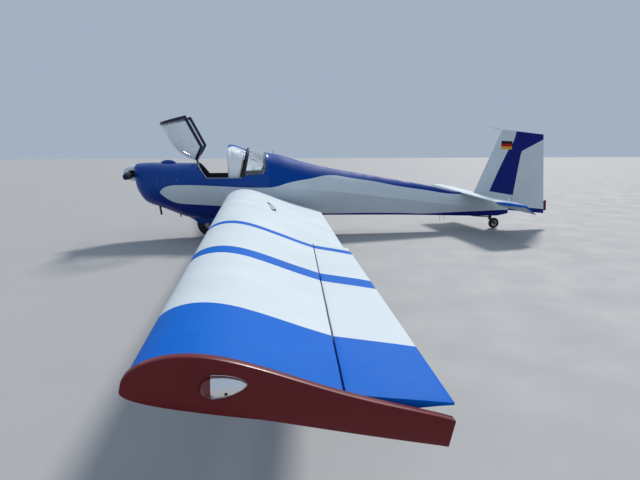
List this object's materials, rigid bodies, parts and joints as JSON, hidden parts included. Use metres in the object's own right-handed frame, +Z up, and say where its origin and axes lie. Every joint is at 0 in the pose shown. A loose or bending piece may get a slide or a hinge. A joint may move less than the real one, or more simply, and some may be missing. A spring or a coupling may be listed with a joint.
{
  "type": "touring motor glider",
  "caption": "Two-seat low-wing motor glider parked on its central main wheel, tail wheel and left outrigger, canopy open.",
  "frame": {"origin": "on the ground, under the middle of the part's box", "axes": "+X towards the left wing tip, +Y aft, +Z up; the airframe leans 1.84 degrees to its left about Y"},
  "size_m": [15.3042, 7.594, 2.0091],
  "materials": {
    "blue_shell": "gloss",
    "white_shell": "gloss",
    "doped_fabric": "satin",
    "red_paint": "satin",
    "engine_alloy": "matte",
    "steel": "satin",
    "dark_metal": "satin",
    "dark_frame": "satin",
    "white_metal": "satin",
    "bright_metal": "polished",
    "wheel_alloy": "satin",
    "black_lacquer": "satin",
    "tyre": "matte",
    "clear_pane": "gloss",
    "plywood": "satin",
    "upholstery": "satin",
    "webbing": "matte"
  },
  "bodies": {
    "airframe": {"cowling_upper": "blue_shell", "cowling_lower": "blue_shell", "cowl_blister": "blue_shell", "engine_block": "engine_alloy", "firewall": "steel", "exhaust_pipe": "dark_metal", "drain_pipe": "dark_metal", "scuttle_shell": "blue_shell", "cockpit_shell": "blue_shell", "rear_bow": "dark_frame", "rear_window": "clear_pane", "instrument_panel": "dark_frame", "cockpit_floor": "plywood", "wheel_tunnel": "plywood", "seat_base": "plywood", "seat_cushion_left": "upholstery", "seat_cushion_right": "upholstery", "seat_back_left": "upholstery", "seat_back_right": "upholstery", "control_stick_left": "dark_metal", "control_stick_right": "dark_metal", "stabilizer": "doped_fabric", "rear_fuselage": "doped_fabric", "fin": "doped_fabric", "pitot_tube": "white_metal", "tail_spring": "dark_metal", "main_fork": "dark_metal", "wheel_fairing": "blue_shell", "wing_left": "doped_fabric", "wing_right": "doped_fabric", "tip_plate_left": "red_paint", "tip_plate_right": "red_paint", "tip_light_left": "bright_metal", "tip_light_right": "bright_metal", "outrigger_leg_left": "black_lacquer", "outrigger_leg_right": "black_lacquer", "deck_aerial": "white_metal", "belly_aerial_front": "steel", "belly_aerial_rear": "steel"},
    "propeller": {"propeller": "black_lacquer", "spinner": "white_shell"},
    "canopy": {"canopy_frame": "dark_frame", "canopy_glass": "clear_pane"},
    "elevator": {"elevator": "doped_fabric"},
    "rudder": {"rudder": "doped_fabric", "rudder_tab": "red_paint"},
    "tail_fork": {"tail_fork": "dark_metal"},
    "tail_wheel": {"tail_tyre": "tyre", "tail_rim": "wheel_alloy"},
    "main_wheel": {"main_tyre": "tyre", "main_rim": "wheel_alloy"},
    "outrigger_wheel_left": {"outrigger_wheel_left": "tyre"},
    "outrigger_wheel_right": {"outrigger_wheel_right": "tyre"},
    "aileron_left": {"aileron_left": "doped_fabric"},
    "aileron_right": {"aileron_right": "doped_fabric"},
    "airbrake_left": {"airbrake_left": "white_metal"},
    "airbrake_right": {"airbrake_right": "white_metal"}
  },
  "joints": [
    {"name": "propeller_spin", "type": "hinge", "parent": "airframe", "child": "propeller", "pos_m": [-0.00578, -3.639, 1.07943], "axis": [0, 1, 0], "continuous": true},
    {"name": "canopy_hinge", "type": "hinge", "parent": "airframe", "child": "canopy", "pos_m": [0.00019, -2.609, 1.26534], "axis": [0.9995, 0, -0.0321], "range_deg": [-117, 0]},
    {"name": "elevator_hinge", "type": "hinge", "parent": "airframe", "child": "elevator", "pos_m": [-0.02081, 2.53106, 0.61162], "axis": [0.9995, 0, -0.0321], "range_deg": [0, 56]},
    {"name": "rudder_hinge", "type": "hinge", "parent": "airframe", "child": "rudder", "pos_m": [-0.02055, 3.075, 0.61967], "axis": [0.0319, 0.1211, 0.9921], "range_deg": [-30, 30]},
    {"name": "tail_steer", "type": "hinge", "parent": "airframe", "child": "tail_fork", "pos_m": [-0.03339, 2.665, 0.21988], "axis": [0.0321, 0, 0.9995], "range_deg": [-30, 30]},
    {"name": "tail_wheel_spin", "type": "hinge", "parent": "tail_fork", "child": "tail_wheel", "pos_m": [-0.03724, 2.747, 0.09995], "axis": [0.9995, 0, -0.0321], "continuous": true},
    {"name": "main_wheel_spin", "type": "hinge", "parent": "airframe", "child": "main_wheel", "pos_m": [-0.03307, -2.435, 0.22992], "axis": [0.9995, 0, -0.0321], "continuous": true},
    {"name": "outrigger_wheel_left_spin", "type": "hinge", "parent": "airframe", "child": "outrigger_wheel_left", "pos_m": [3.06313, -1.717, 0.06197], "axis": [0.9995, 0, -0.0321], "continuous": true},
    {"name": "outrigger_wheel_right_spin", "type": "hinge", "parent": "airframe", "child": "outrigger_wheel_right", "pos_m": [-3.13367, -1.717, 0.26104], "axis": [0.9995, 0, -0.0321], "continuous": true},
    {"name": "aileron_left_hinge", "type": "hinge", "parent": "airframe", "child": "aileron_left", "pos_m": [5.02068, -1.44059, 0.79488], "axis": [0.9907, -0.1216, 0.061], "range_deg": [-28, 12]},
    {"name": "aileron_right_hinge", "type": "hinge", "parent": "airframe", "child": "aileron_right", "pos_m": [-5.04013, -1.44059, 1.11808], "axis": [0.9847, 0.1216, -0.1245], "range_deg": [-12, 28]},
    {"name": "airbrake_left_slide", "type": "slide", "parent": "airframe", "child": "airbrake_left", "axis": [-0.0436, 0, 0.999], "range_m": [0, 0.085]},
    {"name": "airbrake_right_slide", "type": "slide", "parent": "airframe", "child": "airbrake_right", "axis": [0.1076, 0, 0.9942], "range_m": [0, 0.085]}
  ],
  "couplings": [
    {"joint": "aileron_right_hinge", "follows": "aileron_left_hinge", "ratio": -1},
    {"joint": "tail_steer", "follows": "rudder_hinge", "ratio": 1},
    {"joint": "airbrake_right_slide", "follows": "airbrake_left_slide", "ratio": 1}
  ]
}
